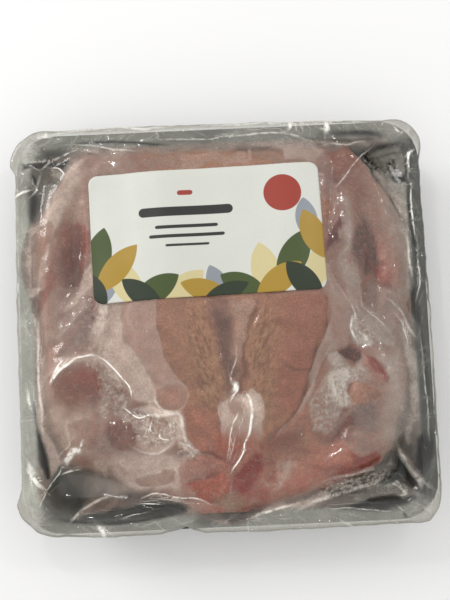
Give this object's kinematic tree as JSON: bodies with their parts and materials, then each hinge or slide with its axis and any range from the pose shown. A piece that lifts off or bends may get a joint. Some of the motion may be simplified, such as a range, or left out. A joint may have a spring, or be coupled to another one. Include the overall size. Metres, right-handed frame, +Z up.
{
  "type": "packed spatchcock chicken",
  "caption": "Raw chicken opened out flat, breast up, on a black plastic tray, sealed tight in a clear bag with a blank paper label.",
  "frame": {"origin": "centre of the tray's flat underside", "axes": "+Z up out of the tray, +Y towards the bird's neck end and the bag's seal, -Y towards its legs, +X to the right in the reference picture"},
  "size_m": [0.2709, 0.2634, 0.0576],
  "materials": {
    "black_plastic": "black moulded tray, satin gloss",
    "chicken_skin": "raw chicken skin and flesh, moist, under clear film",
    "clear_film": "thin clear bag film, glossy, milky where it does not touch the skin",
    "printed_paper": "coated paper label with plain printed shapes"
  },
  "bodies": {
    "root": {"tray": "black_plastic", "bagged_chicken": "chicken_skin", "label": "printed_paper"}
  },
  "joints": []
}
